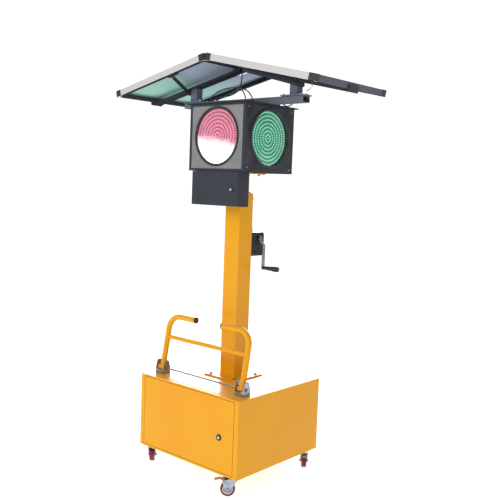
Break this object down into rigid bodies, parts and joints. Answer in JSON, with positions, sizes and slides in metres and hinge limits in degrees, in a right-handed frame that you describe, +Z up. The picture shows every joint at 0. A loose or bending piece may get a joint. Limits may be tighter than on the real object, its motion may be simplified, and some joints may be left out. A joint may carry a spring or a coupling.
{
  "type": "portable traffic light",
  "caption": "Mobile signal on a battery cabinet with casters: crank-raised mast, square lamp head with a signal on each side, and a gable of solar panels.",
  "frame": {"origin": "floor under the middle of the battery cabinet", "axes": "+Z up, -Y towards the cabinet door and push handle, +X to the right along the door"},
  "size_m": [1.4842, 0.771, 2.3234],
  "materials": {
    "orange_paint": "satin powder coat",
    "black_paint": "fine-texture powder coat",
    "winch_black": "semi-gloss",
    "arm_grey": "satin",
    "zinc": "zinc plated",
    "steel": "bare",
    "aluminium": "anodised",
    "black_plastic": "matte",
    "white_nylon": "matte",
    "battery_plastic": "matte",
    "circuit_board": "satin",
    "red_lens": "clear moulded lens over red lamps",
    "green_lens": "clear moulded lens over green lamps",
    "solar_glass": "laminated cells under glass",
    "wheel_red": "polyurethane tread on a light core",
    "grip_black": "matte",
    "cable_black": "satin sheath",
    "wire_rope": "galvanised strand"
  },
  "bodies": {
    "root": {"cabinet_shell": "orange_paint", "door_pivots": "zinc", "batteries": "battery_plastic", "caster_plates": "zinc", "handle_brackets": "zinc", "handle_rod": "zinc", "mast_foot": "orange_paint", "mast_bolts": "zinc", "mast_outer": "orange_paint", "mast_guide": "white_nylon", "pulley_bracket": "zinc", "lift_rope": "wire_rope", "inner_rope": "wire_rope", "winch_frame": "winch_black", "winch_cover": "winch_black"},
    "door": {"cabinet_door": "orange_paint"},
    "door_lock": {"cabinet_lock": "winch_black"},
    "handle": {"handle_frame": "orange_paint", "handle_caps": "black_plastic"},
    "lamp_mast": {"mast_inner": "orange_paint", "slide_pads": "white_nylon", "head_plate": "orange_paint", "head_housing": "black_paint", "head_cover": "black_paint", "lamp_panels": "black_paint", "lens_rings": "black_plastic", "red_lenses": "red_lens", "green_lenses": "green_lens", "led_boards": "circuit_board", "head_screws": "zinc", "control_box": "black_paint", "control_board": "circuit_board", "cross_arm": "arm_grey", "panel_posts": "black_paint", "support_rails": "black_paint", "panel_frames": "aluminium", "solar_laminates": "solar_glass", "frame_corners": "black_plastic", "junction_boxes": "black_plastic", "panel_leads": "cable_black", "cable_glands": "black_plastic"},
    "pulley": {"rope_pulley": "steel"},
    "drum": {"winch_drum": "steel"},
    "crank": {"crank_shaft": "zinc", "crank_arm": "steel"},
    "grip": {"crank_grip": "grip_black"},
    "box_door": {"control_door": "black_paint"},
    "box_lock": {"control_lock": "zinc"},
    "front_right_swivel": {"front_right_fork": "zinc"},
    "front_right_roll": {"front_right_wheel": "wheel_red"},
    "front_right_brake": {"front_right_pedal": "zinc"},
    "front_left_swivel": {"front_left_fork": "zinc"},
    "front_left_roll": {"front_left_wheel": "wheel_red"},
    "front_left_brake": {"front_left_pedal": "zinc"},
    "back_right_swivel": {"back_right_fork": "zinc"},
    "back_right_roll": {"back_right_wheel": "wheel_red"},
    "back_right_brake": {"back_right_pedal": "zinc"},
    "back_left_swivel": {"back_left_fork": "zinc"},
    "back_left_roll": {"back_left_wheel": "wheel_red"},
    "back_left_brake": {"back_left_pedal": "zinc"}
  },
  "joints": [
    {"name": "mast_lift", "type": "slide", "parent": "root", "child": "lamp_mast", "axis": [0, 0, 1], "range_m": [0, 0.5], "deforming": ["inner_rope"]},
    {"name": "drum_turn", "type": "hinge", "parent": "root", "child": "drum", "pos_m": [0, 0.122, 1.297], "axis": [-1, 0, 0], "range_deg": [0, 1062]},
    {"name": "pulley_turn", "type": "hinge", "parent": "root", "child": "pulley", "pos_m": [0, 0.09, 1.568], "axis": [-1, 0, 0], "range_deg": [0, 1103]},
    {"name": "crank_turn", "type": "hinge", "parent": "root", "child": "crank", "pos_m": [0, 0.162, 1.327], "axis": [1, 0, 0], "range_deg": [0, 4246]},
    {"name": "grip_spin", "type": "hinge", "parent": "crank", "child": "grip", "pos_m": [0.1, 0.162, 1.157], "axis": [1, 0, 0], "continuous": true},
    {"name": "handle_fold", "type": "hinge", "parent": "root", "child": "handle", "pos_m": [0, -0.25, 0.56], "axis": [1, 0, 0], "range_deg": [-79, 50]},
    {"name": "door_swing", "type": "hinge", "parent": "root", "child": "door", "pos_m": [-0.341, -0.344, 0.3], "axis": [0, 0, -1], "range_deg": [0, 105]},
    {"name": "door_lock_turn", "type": "hinge", "parent": "door", "child": "door_lock", "pos_m": [0.247, -0.35, 0.306], "axis": [0, -1, 0], "range_deg": [0, 90]},
    {"name": "box_door_swing", "type": "hinge", "parent": "lamp_mast", "child": "box_door", "pos_m": [-0.1765, -0.154, 1.6], "axis": [0, 0, -1], "range_deg": [0, 120]},
    {"name": "box_lock_turn", "type": "hinge", "parent": "box_door", "child": "box_lock", "pos_m": [0.126, -0.194, 1.607], "axis": [0, -1, 0], "range_deg": [0, 90]},
    {"name": "front_right_swivel", "type": "hinge", "parent": "root", "child": "front_right_swivel", "pos_m": [0.322, -0.308, 0.1], "axis": [0, 0, 1], "continuous": true},
    {"name": "front_right_roll", "type": "hinge", "parent": "front_right_swivel", "child": "front_right_roll", "pos_m": [0.30087, -0.32637, 0.04], "axis": [0.6561, -0.7547, 0], "continuous": true},
    {"name": "front_right_brake", "type": "hinge", "parent": "front_right_swivel", "child": "front_right_brake", "pos_m": [0.28426, -0.3408, 0.086], "axis": [-0.6561, 0.7547, 0], "range_deg": [0, 14]},
    {"name": "front_left_swivel", "type": "hinge", "parent": "root", "child": "front_left_swivel", "pos_m": [-0.322, -0.308, 0.1], "axis": [0, 0, 1], "continuous": true},
    {"name": "front_left_roll", "type": "hinge", "parent": "front_left_swivel", "child": "front_left_roll", "pos_m": [-0.34037, -0.28687, 0.04], "axis": [-0.7547, -0.6561, 0], "continuous": true},
    {"name": "front_left_brake", "type": "hinge", "parent": "front_left_swivel", "child": "front_left_brake", "pos_m": [-0.3548, -0.27026, 0.086], "axis": [0.7547, 0.6561, 0], "range_deg": [0, 14]},
    {"name": "back_right_swivel", "type": "hinge", "parent": "root", "child": "back_right_swivel", "pos_m": [0.322, 0.308, 0.1], "axis": [0, 0, 1], "continuous": true},
    {"name": "back_right_roll", "type": "hinge", "parent": "back_right_swivel", "child": "back_right_roll", "pos_m": [0.34037, 0.28687, 0.04], "axis": [0.7547, 0.6561, 0], "continuous": true},
    {"name": "back_right_brake", "type": "hinge", "parent": "back_right_swivel", "child": "back_right_brake", "pos_m": [0.3548, 0.27026, 0.086], "axis": [-0.7547, -0.6561, 0], "range_deg": [0, 14]},
    {"name": "back_left_swivel", "type": "hinge", "parent": "root", "child": "back_left_swivel", "pos_m": [-0.322, 0.308, 0.1], "axis": [0, 0, 1], "continuous": true},
    {"name": "back_left_roll", "type": "hinge", "parent": "back_left_swivel", "child": "back_left_roll", "pos_m": [-0.30087, 0.32637, 0.04], "axis": [-0.6561, 0.7547, 0], "continuous": true},
    {"name": "back_left_brake", "type": "hinge", "parent": "back_left_swivel", "child": "back_left_brake", "pos_m": [-0.28426, 0.3408, 0.086], "axis": [0.6561, -0.7547, 0], "range_deg": [0, 14]}
  ],
  "couplings": [
    {"joint": "drum_turn", "follows": "mast_lift", "rad_per_m": 37.037},
    {"joint": "pulley_turn", "follows": "mast_lift", "rad_per_m": 38.462},
    {"joint": "crank_turn", "follows": "mast_lift", "rad_per_m": 148.15}
  ]
}
